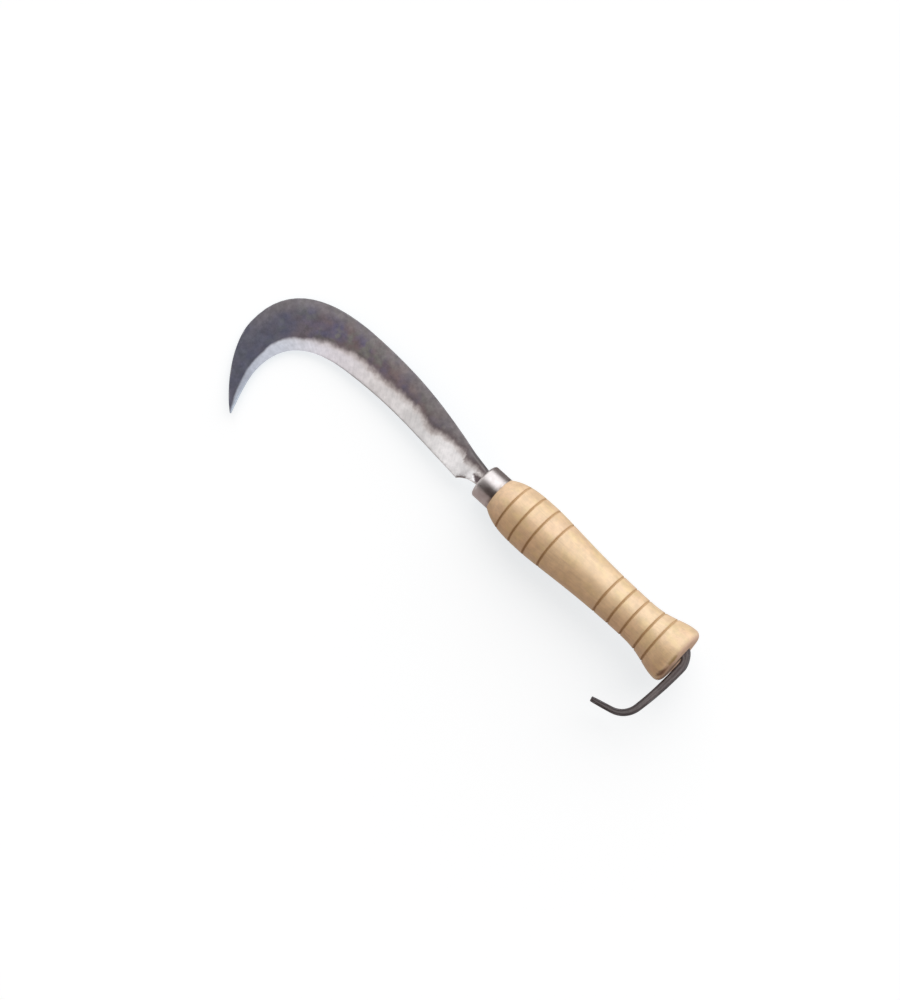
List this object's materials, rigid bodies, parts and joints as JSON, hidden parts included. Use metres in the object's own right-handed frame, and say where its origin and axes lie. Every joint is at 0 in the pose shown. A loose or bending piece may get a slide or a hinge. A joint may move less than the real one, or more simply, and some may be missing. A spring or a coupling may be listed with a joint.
{
  "type": "billhook",
  "caption": "Hand billhook with a forward-hooked forged blade, steel ferrule, turned wooden grip with burnt grooves, and a tang tail bent into a hanging hook.",
  "frame": {"origin": "middle of the grip: on the handle's axis, half way between the ferrule and the butt", "axes": "+X along the handle's axis towards the blade, +Y towards the cutting edge, +Z out of the flat of the blade"},
  "size_m": [0.3606, 0.101, 0.04],
  "materials": {
    "forged_steel": "dark forge scale with a bright ground bevel",
    "ferrule_steel": "satin turned steel",
    "handle_wood": "bare turned wood with burnt grooves"
  },
  "bodies": {
    "root": {"blade": "forged_steel", "ferrule": "ferrule_steel", "handle": "handle_wood"}
  },
  "joints": []
}
